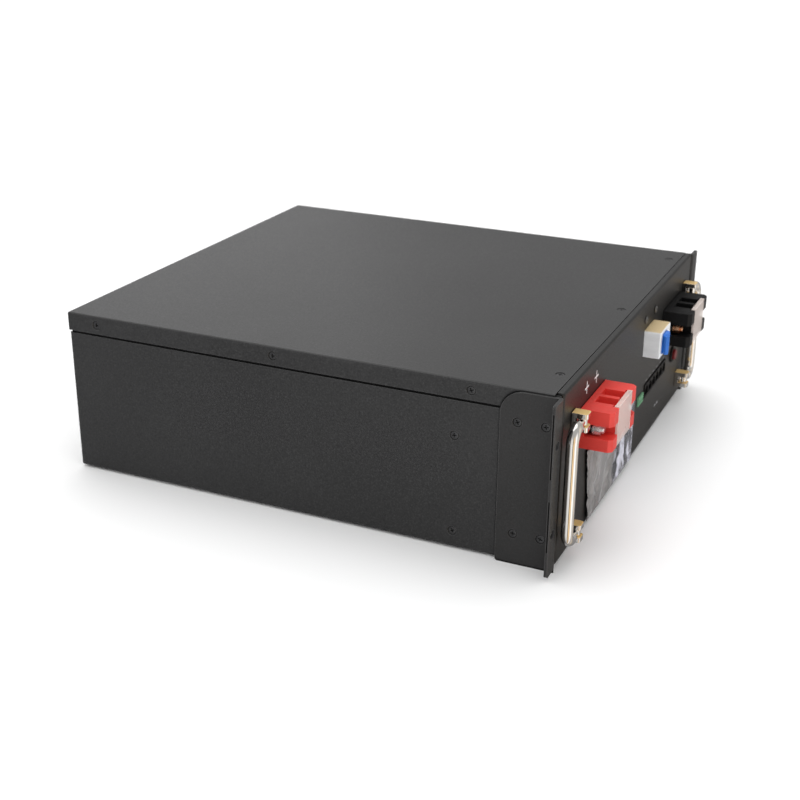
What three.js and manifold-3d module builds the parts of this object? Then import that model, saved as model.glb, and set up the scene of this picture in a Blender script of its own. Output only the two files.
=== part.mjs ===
// Rack-mount battery module, millimetres, +Z up. The front panel faces -Y and the origin is the
// centre of the underside of the chassis.
import * as THREE from 'three';
import { mergeVertices } from 'three/addons/utils/BufferGeometryUtils.js';
import Module from 'manifold-3d';

const wasm = await Module();
wasm.setup();

// ---------------------------------------------------------------- driving dimensions
const GAP = 0.3; // clearance between neighbouring pieces
const SHEET = 1.2; // tray, lid and partition sheet

const LID_X = 221; // half of the 442 mm body width, outside of the lid
const TOP_Z = 154; // top of the lid
const REAR_Y = 238; // back of the lid
const SEAM_Y = -230; // front edge of the lid
const LID_FLANGE = 17;
const WALL_STEP = 0.8; // the tray walls stand this far inside the lid
const WALL_X = LID_X - WALL_STEP; // outside of the tray walls
const WALL_INNER_X = WALL_X - SHEET;
const SHOULDER_Z = 134.5; // above it the walls are joggled inwards, behind the lid's flanges
const JOGGLE = 1.9;
const JOGGLE_INNER_X = WALL_INNER_X - JOGGLE;
const TRAY_FRONT_Y = -234.5;
const TRAY_REAR_Y = REAR_Y - WALL_STEP;

const PANEL_Y = -237; // front face of the front panel
const PANEL_T = 1.5;
const PANEL_X = 216.8;
const PANEL_BOTTOM_Z = SHEET + GAP;
const PANEL_BACK_Y = PANEL_Y + PANEL_T;
const MOUNT_Y = PANEL_Y - GAP; // back of whatever is fixed on the panel
const BEHIND_Y = PANEL_BACK_Y + GAP; // front of whatever sits against the panel's back

const EAR_X = 241.3; // half of the 19-inch width over the ears
const EAR_PLATE_X = 223.3;
const EAR_FRONT_Y = -238;
const EAR_T = 3;
const EAR_BEND = 3.5; // outer radius of the fold between plate and flange
const EAR_REAR_Y = -186;
const EAR_BOTTOM_Z = -2;
const EAR_TOP_Z = 152.5;

const HANDLE_PIVOT_X = 191;
const HANDLE_BAR_X = 217;
const HANDLE_Y = -245.5;
const HANDLE_LOW_Z = 23;
const HANDLE_HIGH_Z = 123;
const HANDLE_BAR_R = 4.5;
const HANDLE_NECK_R = 3;
const HANDLE_PIN_R = 1.8;

const BLOCK_HALF = 36; // terminal block
const BLOCK_Z0 = 89.5;
const BLOCK_Z1 = 124.5;
const BLOCK_FRONT_Y = -265.6;
const STUD_OFFSET = 28.5;
const STUD_Z = 106;
const POSITIVE_X = -135;
const NEGATIVE_X = 141;
const COVER_HALF = 20.3;
const COVER_T = 2;
const COVER_HINGE_Y = -263.4;
const COVER_HINGE_Z = 122.8;
const COVER_SWING_R = 3.6; // room round the hinge for the cover's lip

const BREAKER_X0 = 33;
const BREAKER_X1 = 70;
const BREAKER_Z0 = 100;
const BREAKER_Z1 = 127;
const BREAKER_FRONT_Y = -253;
const TOGGLE_X = 47.5;
const TOGGLE_Y = -249;
const TOGGLE_R = 9;
const TOGGLE_LEAN = THREE.MathUtils.degToRad(45);

const BUTTON_X = 162;
const BUTTON_Z = 60;
const PORTS = { x0: 49, x1: 131, z0: 51.5, z1: 65.5, count: 6 };
const CONTACT = { x0: 25, x1: 43, z0: 51.5, z1: 60.5 };
const SCREEN = { x0: -60, x1: 14, z0: 10, z1: 70 };
const FILM = { x0: -146, x1: 15, z0: 4, z1: 76 };

const CELL = { width: 48, length: 174, height: 125, count: 8, bottom: 1.6 };
const CELL_PITCH = CELL.width + GAP;
const CELL_TOP_Z = CELL.bottom + CELL.height;
const POST_H = 3;
const POST_OFFSET = 62;
const ROW_FRONT_Y = -50.3;
const ROW_REAR_Y = 124.3;
const CARRIER_Z = CELL_TOP_Z + POST_H + GAP;
const LINK_TOP_Z = CARRIER_Z + 3.8;
const LOW_LEAD_Z = LINK_TOP_Z + GAP;
const HIGH_LEAD_Z = LOW_LEAD_Z + 3;
const LEAD_T = 2;
const STUD_BAR_Y = -222;

const LID_SCREW_Y = [-160, 23, 206];
const LID_SCREW_Z = 145.5;
const LID_TOP_SCREW_X = [-176, 6, 188];
const LID_TOP_SCREW_Y = -220;
const EAR_SCREWS = [[-201, 126], [-225, 126], [-201, 26], [-225, 26]];
const WALL_SCREW_Y = -146;
const WALL_SCREW_Z = [15, 103];
const BREAKER_SCREW_X = [34, 69];
const BREAKER_SCREW_Z = 137.5;

// ---------------------------------------------------------------- finishes
const FINISH = {
  coat: { color: 0x3c3c3e, roughness: 0.62, metalness: 0.1 },
  panel: { color: 0x343436, roughness: 0.6, metalness: 0.1 },
  chrome: { color: 0xd8d4cc, roughness: 0.12, metalness: 1 },
  blackScrew: { color: 0x202022, roughness: 0.45, metalness: 0.7 },
  zinc: { color: 0xb9bcbf, roughness: 0.35, metalness: 0.9 },
  copper: { color: 0xb87346, roughness: 0.35, metalness: 1 },
  red: { color: 0xc03a38, roughness: 0.5, metalness: 0 },
  black: { color: 0x1c1c1e, roughness: 0.5, metalness: 0 },
  clear: { color: 0xd9cfcc, roughness: 0.2, metalness: 0 },
  grey: { color: 0xcfd1d4, roughness: 0.5, metalness: 0 },
  blue: { color: 0x2a57b8, roughness: 0.45, metalness: 0 },
  green: { color: 0x6fae7c, roughness: 0.55, metalness: 0 },
  glass: { color: 0x15171a, roughness: 0.12, metalness: 0 },
  film: { color: 0xa9a7a6, roughness: 0.3, metalness: 0 },
  cell: { color: 0x2e5f9e, roughness: 0.45, metalness: 0.1 },
  carrier: { color: 0xd8d6cf, roughness: 0.6, metalness: 0 },
  board: { color: 0x1f5b3a, roughness: 0.5, metalness: 0 },
  alloy: { color: 0xa9adb1, roughness: 0.4, metalness: 0.9 },
};

const group = new THREE.Group();
group.name = 'battery_pack';

// ---------------------------------------------------------------- solids
function solid(geometry) {
  const bare = new THREE.BufferGeometry();
  bare.setAttribute('position', geometry.getAttribute('position'));
  bare.setIndex(geometry.getIndex());
  const welded = mergeVertices(bare, 1e-4);
  const index = welded.getIndex().array;
  const faces = [];
  for (let i = 0; i < index.length; i += 3) {
    const [a, b, c] = [index[i], index[i + 1], index[i + 2]];
    if (a !== b && b !== c && c !== a) faces.push(a, b, c);
  }
  return new wasm.Manifold(new wasm.Mesh({
    numProp: 3,
    vertProperties: new Float32Array(welded.getAttribute('position').array),
    triVerts: new Uint32Array(faces),
  }));
}

function join(...bodies) {
  return bodies.reduce((whole, body) => whole.add(body));
}

function cut(body, ...tools) {
  return tools.reduce((rest, tool) => rest.subtract(tool), body);
}

function add(name, body, finish) {
  const mesh = body.getMesh();
  const indexed = new THREE.BufferGeometry();
  indexed.setAttribute('position', new THREE.BufferAttribute(mesh.vertProperties, 3));
  indexed.setIndex(new THREE.BufferAttribute(mesh.triVerts, 1));
  const geometry = indexed.toNonIndexed();
  geometry.computeVertexNormals();
  const node = new THREE.Mesh(geometry, new THREE.MeshStandardMaterial(FINISH[finish]));
  node.name = name;
  group.add(node);
}

// ---------------------------------------------------------------- shapes
// Each frame says which directions the two drawing axes and the extrusion take.
const vector = (x, y, z) => new THREE.Vector3(x, y, z);
const UP = new THREE.Matrix4();
const DOWN = new THREE.Matrix4().makeBasis(vector(1, 0, 0), vector(0, -1, 0), vector(0, 0, -1));
const FORWARD = new THREE.Matrix4().makeBasis(vector(1, 0, 0), vector(0, 0, 1), vector(0, -1, 0));
const SIDEWAYS = new THREE.Matrix4().makeBasis(vector(0, 1, 0), vector(0, 0, 1), vector(1, 0, 0));

function box(x0, x1, y0, y1, z0, z1) {
  const geometry = new THREE.BoxGeometry(Math.abs(x1 - x0), y1 - y0, z1 - z0);
  geometry.translate((x0 + x1) / 2, (y0 + y1) / 2, (z0 + z1) / 2);
  return solid(geometry);
}

// A drawing (list of [a, b] points) extruded from c0 to c1 along the frame's third axis.
function prism(points, c0, c1, frame) {
  const shape = new THREE.Shape(points.map(([a, b]) => new THREE.Vector2(a, b)));
  const geometry = new THREE.ExtrudeGeometry(shape, { depth: c1 - c0, bevelEnabled: false });
  geometry.translate(0, 0, c0);
  geometry.applyMatrix4(frame);
  return solid(geometry);
}

// A quarter of a circle, from one angle to another in degrees.
function arc(a, b, radius, from, to, steps = 5) {
  const points = [];
  for (let i = 0; i <= steps; i += 1) {
    const angle = THREE.MathUtils.degToRad(from + ((to - from) * i) / steps);
    points.push([a + radius * Math.cos(angle), b + radius * Math.sin(angle)]);
  }
  return points;
}

function roundedRect(a0, a1, b0, b1, radius, steps = 3) {
  return [
    ...arc(a1 - radius, b0 + radius, radius, -90, 0, steps),
    ...arc(a1 - radius, b1 - radius, radius, 0, 90, steps),
    ...arc(a0 + radius, b1 - radius, radius, 90, 180, steps),
    ...arc(a0 + radius, b0 + radius, radius, 180, 270, steps),
  ];
}

// A box whose edges round over at c1, as a bent sheet does.
function softBox(a0, a1, b0, b1, c0, c1, radius, frame) {
  const outline = roundedRect(a0 + radius, a1 - radius, b0 + radius, b1 - radius, 0.4, 1);
  const shape = new THREE.Shape(outline.map(([a, b]) => new THREE.Vector2(a, b)));
  const geometry = new THREE.ExtrudeGeometry(shape, {
    depth: c1 - c0 - 2 * radius,
    bevelThickness: radius,
    bevelSize: radius,
    bevelSegments: 2,
  });
  geometry.translate(0, 0, c0 + radius);
  geometry.applyMatrix4(frame);
  return solid(geometry);
}

// A folded pan: a closed face at c1 and four flanges running back to c0.
function pan(a0, a1, b0, b1, c0, c1, thickness, radius, frame) {
  const outer = softBox(a0, a1, b0, b1, c0 - 8, c1, radius, frame);
  const t = thickness;
  const inner = softBox(a0 + t, a1 - t, b0 + t, b1 - t, c0 - 20, c1 - t, Math.max(radius - t, 0.4), frame);
  const rim = roundedRect(a0 - 5, a1 + 5, b0 - 5, b1 + 5, 1, 1);
  return cut(outer, inner, prism(rim, c0 - 30, c0, frame));
}

// A round bar centred at (x, y, z) along 'x', 'y' or 'z'.
function rod(axis, x, y, z, radius, length, sides = 24, farRadius = radius) {
  const geometry = new THREE.CylinderGeometry(farRadius, radius, length, sides);
  if (axis === 'x') geometry.rotateZ(-Math.PI / 2);
  if (axis === 'z') geometry.rotateX(Math.PI / 2);
  geometry.translate(x, y, z);
  return solid(geometry);
}

// A turned profile of [radius, height] points with its zero height at (x, y, z), its positive
// heights along the given direction.
function turned(profile, x, y, z, direction, sides = 12) {
  const points = profile.map(([r, h]) => new THREE.Vector2(r, h));
  const geometry = new THREE.LatheGeometry(points, sides);
  const turn = new THREE.Quaternion().setFromUnitVectors(vector(0, 1, 0), direction);
  geometry.applyQuaternion(turn);
  geometry.translate(x, y, z);
  const body = solid(geometry);
  return body.volume() < 0 ? solid(flipped(geometry)) : body;
}

function flipped(geometry) {
  const index = geometry.getIndex();
  for (let i = 0; i < index.count; i += 3) {
    const first = index.getX(i);
    index.setX(i, index.getX(i + 2));
    index.setX(i + 2, first);
  }
  return geometry;
}

// ---------------------------------------------------------------- countersunk screws
const SCREW_HEAD_R = 4;
const SCREW_SHANK_R = 2;

function screw(x, y, z, direction, length) {
  const profile = [
    [0, -length],
    [SCREW_SHANK_R, -length],
    [SCREW_SHANK_R, -1.5],
    [2.5, -1.5],
    [SCREW_HEAD_R, -0.05],
    [SCREW_HEAD_R, 0.1],
    [0, 0.1],
  ];
  const head = turned(profile, x, y, z, direction);
  const turn = new THREE.Quaternion().setFromUnitVectors(vector(0, 1, 0), direction);
  const recess = [[4.4, 0.9], [0.9, 4.4]].map(([a, b]) => {
    const blade = new THREE.BoxGeometry(a, 1.6, b);
    blade.applyQuaternion(turn);
    blade.translate(x, y, z);
    return solid(blade);
  });
  return cut(head, ...recess);
}

function screwHole(x, y, z, direction, length) {
  const profile = [
    [0, -length],
    [SCREW_SHANK_R + GAP, -length],
    [SCREW_SHANK_R + GAP, -2],
    [SCREW_HEAD_R + GAP, -0.05],
    [SCREW_HEAD_R + GAP, 1],
    [0, 1],
  ];
  return turned(profile, x, y, z, direction);
}

const outward = (side) => vector(side, 0, 0);

// ---------------------------------------------------------------- chassis
function addTray() {
  const lower = pan(-WALL_X, WALL_X, -TRAY_REAR_Y, 260, -SHOULDER_Z, 0, SHEET, 2, DOWN);
  const x = WALL_X - JOGGLE;
  const y = TRAY_REAR_Y - JOGGLE;
  const collar = cut(
    box(-x, x, -260, y, SHOULDER_Z - SHEET, TOP_Z - SHEET - GAP),
    box(SHEET - x, x - SHEET, -270, y - SHEET, SHOULDER_Z - 5, TOP_Z),
  );
  const shoulder = cut(
    box(-WALL_INNER_X - 0.5, WALL_INNER_X + 0.5, -260, TRAY_REAR_Y - 0.5, SHOULDER_Z - SHEET, SHOULDER_Z),
    box(SHEET - x, x - SHEET, -270, y - SHEET, SHOULDER_Z - 5, TOP_Z),
  );
  const shell = join(lower, shoulder, collar);
  const openFront = box(-260, 260, -280, TRAY_FRONT_Y, -20, 200);
  const holes = [];
  for (const y of LID_SCREW_Y) {
    holes.push(rod('x', 0, y, LID_SCREW_Z, SCREW_SHANK_R + GAP, 460, 12));
  }
  for (const [y, z] of EAR_SCREWS) {
    holes.push(rod('x', 0, y, z, SCREW_SHANK_R + GAP, 460, 12));
  }
  for (const side of [-1, 1]) {
    for (const z of WALL_SCREW_Z) {
      holes.push(screwHole(side * WALL_X, WALL_SCREW_Y, z, outward(side), 6));
    }
  }
  add('chassis_tray', cut(shell, openFront, ...holes), 'coat');
}

function addLid() {
  const shell = pan(-LID_X, LID_X, -260, REAR_Y, TOP_Z - LID_FLANGE, TOP_Z, SHEET, 1.6, UP);
  const openFront = box(-260, 260, -300, SEAM_Y, 100, 200);
  const holes = [];
  for (const side of [-1, 1]) {
    for (const y of LID_SCREW_Y) {
      holes.push(screwHole(side * LID_X, y, LID_SCREW_Z, outward(side), 6));
    }
  }
  for (const x of LID_TOP_SCREW_X) {
    holes.push(screwHole(x, LID_TOP_SCREW_Y, TOP_Z, vector(0, 0, 1), 6));
  }
  add('top_lid', cut(shell, openFront, ...holes), 'coat');
}

function panelHoles() {
  const through = [PANEL_Y - 5, PANEL_BACK_Y + 5];
  const window = ({ x0, x1, z0, z1 }) => box(x0 - GAP, x1 + GAP, ...through, z0 - GAP, z1 + GAP);
  const holes = [
    window(PORTS),
    window(CONTACT),
    window(SCREEN),
    window({ x0: BREAKER_X0, x1: BREAKER_X1, z0: BREAKER_Z0, z1: BREAKER_Z1 }),
    rod('y', BUTTON_X, PANEL_Y, BUTTON_Z, 7 + GAP, 10),
  ];
  for (const centre of [POSITIVE_X, NEGATIVE_X]) {
    for (const side of [-1, 1]) {
      holes.push(rod('y', centre + side * STUD_OFFSET, PANEL_Y, STUD_Z, 6, 10));
    }
  }
  for (const side of [-1, 1]) {
    for (const z of [HANDLE_LOW_Z, HANDLE_HIGH_Z]) {
      holes.push(rod('y', side * HANDLE_PIVOT_X, PANEL_Y, z, 2 + GAP, 10, 16));
    }
  }
  for (const x of BREAKER_SCREW_X) {
    holes.push(rod('y', x, PANEL_Y, BREAKER_SCREW_Z, 2 + GAP, 10, 16));
  }
  return holes;
}

function addFrontPanel() {
  const depth = 22;
  const shell = pan(-PANEL_X, PANEL_X, PANEL_BOTTOM_Z, TOP_Z, -PANEL_Y - depth, -PANEL_Y, PANEL_T, 2, FORWARD);
  const shortTop = box(-230, 230, SEAM_Y - 0.8, -200, 150, 160);
  const shortBottom = box(-210, 210, -223, -200, -5, 6);
  const sideHoles = EAR_SCREWS.map(([y, z]) => rod('x', 0, y, z, SCREW_SHANK_R + GAP, 460, 12));
  add('front_panel', cut(shell, shortTop, shortBottom, ...panelHoles(), ...sideHoles), 'panel');
}

// ---------------------------------------------------------------- rack ears
function addEar(name, side) {
  const inner = WALL_X + GAP;
  const rear = EAR_FRONT_Y + EAR_T;
  const plan = [
    ...arc(inner + EAR_BEND, EAR_FRONT_Y + EAR_BEND, EAR_BEND, 180, 270, 5),
    [EAR_X - 0.6, EAR_FRONT_Y],
    [EAR_X, EAR_FRONT_Y + 0.6],
    [EAR_X, rear - 0.6],
    [EAR_X - 0.6, rear],
    ...arc(EAR_PLATE_X + 2, rear + 2, 2, 270, 180, 3),
    [EAR_PLATE_X, EAR_REAR_Y],
    [inner, EAR_REAR_Y],
  ].map(([x, y]) => [side * x, y]);
  const sideView = [
    [EAR_FRONT_Y - 1, EAR_BOTTOM_Z],
    [EAR_REAR_Y - 2, EAR_BOTTOM_Z],
    [EAR_REAR_Y, EAR_BOTTOM_Z + 2],
    ...arc(EAR_REAR_Y - 20, EAR_TOP_Z - 20, 20, 0, 90, 8),
    [EAR_FRONT_Y - 1, EAR_TOP_Z],
  ];
  const flangeBottom = 1.5;
  const frontView = [
    [inner - 1, EAR_BOTTOM_Z],
    [EAR_PLATE_X + GAP, EAR_BOTTOM_Z],
    [EAR_PLATE_X + GAP, flangeBottom],
    ...arc(EAR_X - 3, flangeBottom + 3, 3, 270, 360, 4),
    ...arc(EAR_X - 3, EAR_TOP_Z - 3, 3, 0, 90, 4),
    [inner - 1, EAR_TOP_Z],
  ].map(([x, z]) => [side * x, z]);
  const body = prism(plan, EAR_BOTTOM_Z, EAR_TOP_Z, UP)
    .intersect(prism(sideView, -EAR_X - 1, EAR_X + 1, SIDEWAYS))
    .intersect(prism(frontView, -EAR_REAR_Y - 1, -EAR_FRONT_Y + 1, FORWARD));
  const lidRebate = box(
    ...[side * (inner - 1), side * (LID_X + GAP)].sort((a, b) => a - b),
    SEAM_Y - 0.5, EAR_REAR_Y + 1, TOP_Z - LID_FLANGE - 0.6, EAR_TOP_Z + 1,
  );
  const tools = EAR_SCREWS.map(([y, z]) => screwHole(side * EAR_PLATE_X, y, z, outward(side), 8));
  for (const z of [38, 116]) {
    const slot = roundedRect(side * 232.3 - 5, side * 232.3 + 5, z - 3.4, z + 3.4, 3.3, 4);
    tools.push(prism(slot, -rear - 2, -EAR_FRONT_Y + 2, FORWARD));
  }
  for (const [z0, z1] of [[25, 71], [90, 146]]) {
    const edge = [side * (EAR_X - 1), side * (EAR_X + 1)].sort((a, b) => a - b);
    tools.push(box(...edge, EAR_FRONT_Y + 0.9, rear - 0.9, z0, z1));
  }
  add(name, cut(body, lidRebate, ...tools), 'coat');
}

// ---------------------------------------------------------------- fastener sets
// Every set is its screws run home into one tapped strip.
function span(side, a, b) {
  return [side * a, side * b].sort((p, q) => p - q);
}

function addEarScrews(name, side) {
  const outer = PANEL_X - PANEL_T - GAP;
  const plate = box(...span(side, outer - 3, outer), -229, -197, 20, 132);
  const relief = box(...span(side, outer - 4, outer + 1), -230, -207, 34, 118);
  const screws = EAR_SCREWS.map(([y, z]) => screw(side * EAR_PLATE_X, y, z, outward(side), 10));
  add(name, join(cut(plate, relief), ...screws), 'blackScrew');
}

function addLidSideScrews(name, side) {
  const outer = JOGGLE_INNER_X - GAP;
  const strip = box(...span(side, outer - 3, outer), -168, 214, 141.5, 149.5);
  const screws = LID_SCREW_Y.map((y) => screw(side * LID_X, y, LID_SCREW_Z, outward(side), 6));
  add(name, join(strip, ...screws), 'blackScrew');
}

function addLidFrontScrews() {
  const strip = box(-211, 211, -225, -215, 146.5, TOP_Z - SHEET - GAP);
  const screws = LID_TOP_SCREW_X.map((x) => screw(x, LID_TOP_SCREW_Y, TOP_Z, vector(0, 0, 1), 6));
  add('lid_screws_front', join(strip, ...screws), 'blackScrew');
}

function addWallScrews(name, side) {
  const strip = box(...span(side, 213.2, 216.2), WALL_SCREW_Y - 4, WALL_SCREW_Y + 4, 9, 109);
  const screws = WALL_SCREW_Z.map((z) => screw(side * WALL_X, WALL_SCREW_Y, z, outward(side), 6));
  add(name, join(strip, ...screws), 'blackScrew');
}

function addBreakerScrews() {
  const strap = box(27, 76, BEHIND_Y, BEHIND_Y + 3, 132.5, 142.5);
  const heads = BREAKER_SCREW_X.map((x) => join(
    rod('y', x, MOUNT_Y - 0.8, BREAKER_SCREW_Z, 3.5, 1.6, 16),
    rod('y', x, PANEL_Y + 1, BREAKER_SCREW_Z, 2, 4, 16),
  ));
  add('breaker_screws', join(strap, ...heads), 'zinc');
}

// ---------------------------------------------------------------- folding handles
function addHandleBow(name, side) {
  const at = (x, z) => vector(side * x, HANDLE_Y, z);
  const bend = 9;
  const start = HANDLE_PIVOT_X + 12;
  const path = new THREE.CurvePath();
  path.add(new THREE.LineCurve3(at(start, HANDLE_LOW_Z), at(HANDLE_BAR_X - bend, HANDLE_LOW_Z)));
  path.add(new THREE.QuadraticBezierCurve3(
    at(HANDLE_BAR_X - bend, HANDLE_LOW_Z),
    at(HANDLE_BAR_X, HANDLE_LOW_Z),
    at(HANDLE_BAR_X, HANDLE_LOW_Z + bend),
  ));
  path.add(new THREE.LineCurve3(
    at(HANDLE_BAR_X, HANDLE_LOW_Z + bend),
    at(HANDLE_BAR_X, HANDLE_HIGH_Z - bend),
  ));
  path.add(new THREE.QuadraticBezierCurve3(
    at(HANDLE_BAR_X, HANDLE_HIGH_Z - bend),
    at(HANDLE_BAR_X, HANDLE_HIGH_Z),
    at(HANDLE_BAR_X - bend, HANDLE_HIGH_Z),
  ));
  path.add(new THREE.LineCurve3(at(HANDLE_BAR_X - bend, HANDLE_HIGH_Z), at(start, HANDLE_HIGH_Z)));
  const circle = new THREE.Shape(
    arc(0, 0, HANDLE_BAR_R, 0, 330, 11).map(([a, b]) => new THREE.Vector2(a, b)),
  );
  const tube = new THREE.ExtrudeGeometry(circle, { steps: 32, extrudePath: path, bevelEnabled: false });
  let bow = solid(tube);
  for (const z of [HANDLE_LOW_Z, HANDLE_HIGH_Z]) {
    const taper = rod(
      'x', side * (start - 1.7), HANDLE_Y, z,
      side > 0 ? HANDLE_NECK_R : HANDLE_BAR_R, 3.6, 16,
      side > 0 ? HANDLE_BAR_R : HANDLE_NECK_R,
    );
    const neck = rod('x', side * (HANDLE_PIVOT_X + 6), HANDLE_Y, z, HANDLE_NECK_R, 12, 16);
    const eye = rod('z', side * HANDLE_PIVOT_X, HANDLE_Y, z, 4, 2 * HANDLE_NECK_R, 20);
    const bore = rod('z', side * HANDLE_PIVOT_X, HANDLE_Y, z, HANDLE_PIN_R + GAP, 20, 20);
    bow = cut(join(bow, taper, neck, eye), bore);
  }
  add(name, bow, 'chrome');
}

function addHandleBase(name, side, z) {
  const x = side * HANDLE_PIVOT_X;
  const front = HANDLE_Y - 5.5;
  const plan = [
    [x - 5.5, MOUNT_Y],
    ...arc(x - 3, front + 2.5, 2.5, 180, 270, 4),
    ...arc(x + 3, front + 2.5, 2.5, 270, 360, 4),
    [x + 5.5, MOUNT_Y],
  ];
  const block = prism(plan, z - 8, z + 8, UP);
  const slot = box(x - 10, x + 10, front - 5, HANDLE_Y + 4 + GAP, z - 3.4, z + 3.4);
  const pin = rod('z', x, HANDLE_Y, z, HANDLE_PIN_R, 14, 20);
  const stem = rod('y', x, PANEL_Y + 2, z, 2, 8, 16);
  const nut = rod('y', x, BEHIND_Y + 1.5, z, 4, 3, 6);
  add(name, join(cut(block, slot), pin, stem, nut), 'chrome');
}

// ---------------------------------------------------------------- main terminals
function addTerminalBlock(name, centre, finish) {
  const half = BLOCK_HALF;
  const bevel = 3.5;
  const plan = [
    [-half, MOUNT_Y],
    [-half, BLOCK_FRONT_Y + bevel],
    [-half + bevel, BLOCK_FRONT_Y],
    [half - bevel, BLOCK_FRONT_Y],
    [half, BLOCK_FRONT_Y + bevel],
    [half, MOUNT_Y],
  ].map(([x, y]) => [centre + x, y]);
  const recess = COVER_HALF + GAP;
  const tools = [
    box(
      centre - recess, centre + recess,
      BLOCK_FRONT_Y - 1, COVER_HINGE_Y + 0.4, BLOCK_Z0 - 1, BLOCK_Z1 + 1,
    ),
    box(
      centre - recess, centre + recess,
      BLOCK_FRONT_Y - 1, COVER_HINGE_Y + COVER_SWING_R,
      COVER_HINGE_Z - COVER_SWING_R, BLOCK_Z1 + 1,
    ),
    rod('x', centre, COVER_HINGE_Y, COVER_HINGE_Z, 1 + GAP, 2 * COVER_HALF + 6, 16),
  ];
  for (const side of [-1, 1]) {
    const [channel0, channel1] = span(side, 2.5, 16);
    const [well0, well1] = span(side, 4.5, 14);
    const [groove0, groove1] = span(side, 19.5, half + 1);
    tools.push(
      box(centre + channel0, centre + channel1, COVER_HINGE_Y, -243, BLOCK_Z1 - 9, BLOCK_Z1 + 1),
      box(centre + well0, centre + well1, -253, -246, BLOCK_Z1 - 16, BLOCK_Z1),
      box(
        centre + groove0, centre + groove1, BLOCK_FRONT_Y - 1, MOUNT_Y - 3.7, STUD_Z - 5.5, STUD_Z + 6,
      ),
      rod('y', centre + side * STUD_OFFSET, MOUNT_Y, STUD_Z, 3 + GAP, 12),
    );
  }
  add(name, cut(prism(plan, BLOCK_Z0, BLOCK_Z1, UP), ...tools), finish);
}

// A plate in the block's front recess, hung from a barrel with a lip over it.
function addTerminalCover(name, centre) {
  const [x0, x1] = [centre - COVER_HALF, centre + COVER_HALF];
  const front = BLOCK_FRONT_Y + 0.1;
  const plate = box(x0, x1, front, front + COVER_T, BLOCK_Z0 + 0.5, COVER_HINGE_Z);
  const lip = box(x0, x1, front, COVER_HINGE_Y + 1.8, COVER_HINGE_Z, BLOCK_Z1 + 0.6);
  const barrel = rod('x', centre, COVER_HINGE_Y, COVER_HINGE_Z, 1.8, 2 * COVER_HALF, 16);
  const pins = rod('x', centre, COVER_HINGE_Y, COVER_HINGE_Z, 1, 2 * COVER_HALF + 5, 16);
  add(name, join(plate, lip, barrel, pins), 'clear');
}

function addStuds(name, centre, finish) {
  const bar = box(centre - 33, centre + 33, STUD_BAR_Y, STUD_BAR_Y + 3, STUD_Z - 8, STUD_Z + 8);
  const studs = [-1, 1].map((side) => {
    const x = centre + side * STUD_OFFSET;
    return join(
      rod('y', x, -238.5, STUD_Z, 3, 36, 16),
      rod('y', x, -246.8, STUD_Z, 4.9, 1.4, 20),
      rod('y', x, -250, STUD_Z, 5, 5.4, 6),
    );
  });
  add(name, join(bar, ...studs), finish);
}

// ---------------------------------------------------------------- panel controls
function addBreaker() {
  const nose = softBox(
    BREAKER_X0, BREAKER_X1, BREAKER_Z0, BREAKER_Z1, -BEHIND_Y - 4, -BREAKER_FRONT_Y, 1.2, FORWARD,
  );
  const rear = box(12, 92, BEHIND_Y, -180, BREAKER_Z0 - 2, BREAKER_Z1 + 2);
  const pocket = rod('z', TOGGLE_X, TOGGLE_Y, 113.5, TOGGLE_R + GAP, 19.6, 32);
  const pin = rod('z', TOGGLE_X, TOGGLE_Y, 113.5, 1.5, 21, 16);
  add('breaker_body', join(cut(join(nose, rear), pocket), pin), 'grey');
}

function addToggle() {
  const drum = rod('z', TOGGLE_X, TOGGLE_Y, 113.5, TOGGLE_R, 19, 32);
  const lever = new THREE.ExtrudeGeometry(
    new THREE.Shape(
      roundedRect(-2.2, 2.2, -13.5, -5, 1, 2).map(([a, b]) => new THREE.Vector2(a, b)),
    ),
    { depth: 18, bevelEnabled: false },
  );
  lever.rotateZ(-TOGGLE_LEAN);
  lever.translate(TOGGLE_X, TOGGLE_Y, 104.5);
  const bore = rod('z', TOGGLE_X, TOGGLE_Y, 113.5, 1.5 + GAP, 30, 16);
  add('breaker_toggle', cut(join(drum, solid(lever)), bore), 'blue');
}

function addPowerButton() {
  const flange = rod('y', BUTTON_X, MOUNT_Y - 0.9, BUTTON_Z, 8.5, 1.8, 32);
  const barrel = rod('y', BUTTON_X, -226, BUTTON_Z, 7, 24, 32);
  const bore = rod('y', BUTTON_X, -234, BUTTON_Z, 5.8, 14, 24);
  add('power_bezel', cut(join(flange, barrel), bore), 'black');
  const cap = turned(
    [[0, -6], [5.5, -6], [5.5, 4], [4.6, 4.6], [0, 4.8]],
    BUTTON_X, PANEL_Y, BUTTON_Z, vector(0, -1, 0), 24,
  );
  add('power_button', cap, 'red');
}

function addPorts() {
  const { x0, x1, z0, z1, count } = PORTS;
  const pitch = (x1 - x0) / count;
  let block = box(x0, x1, PANEL_Y - 1.2, -216, z0, z1);
  for (let i = 0; i < count; i += 1) {
    const x = x0 + (i + 0.5) * pitch;
    block = cut(
      block,
      box(x - 5.8, x + 5.8, PANEL_Y - 2, -222, z0 + 2.4, z0 + 9.2),
      box(x - 2.6, x + 2.6, PANEL_Y - 2, -224, z0 + 9, z1 - 2),
    );
  }
  add('port_block', block, 'black');
}

function addContactSocket() {
  const { x0, x1, z0, z1 } = CONTACT;
  let socket = box(x0, x1, PANEL_Y - 1.5, -224, z0, z1);
  for (let i = 0; i < 4; i += 1) {
    const x = x0 + 2.25 + i * 4.5;
    socket = cut(
      socket,
      box(x - 1.5, x + 1.5, PANEL_Y - 3, PANEL_Y + 6, z0 + 1.2, z0 + 5),
      rod('y', x, PANEL_Y - 1, z0 + 6.9, 1.1, 4, 10),
    );
  }
  add('contact_socket', socket, 'green');
}

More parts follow.
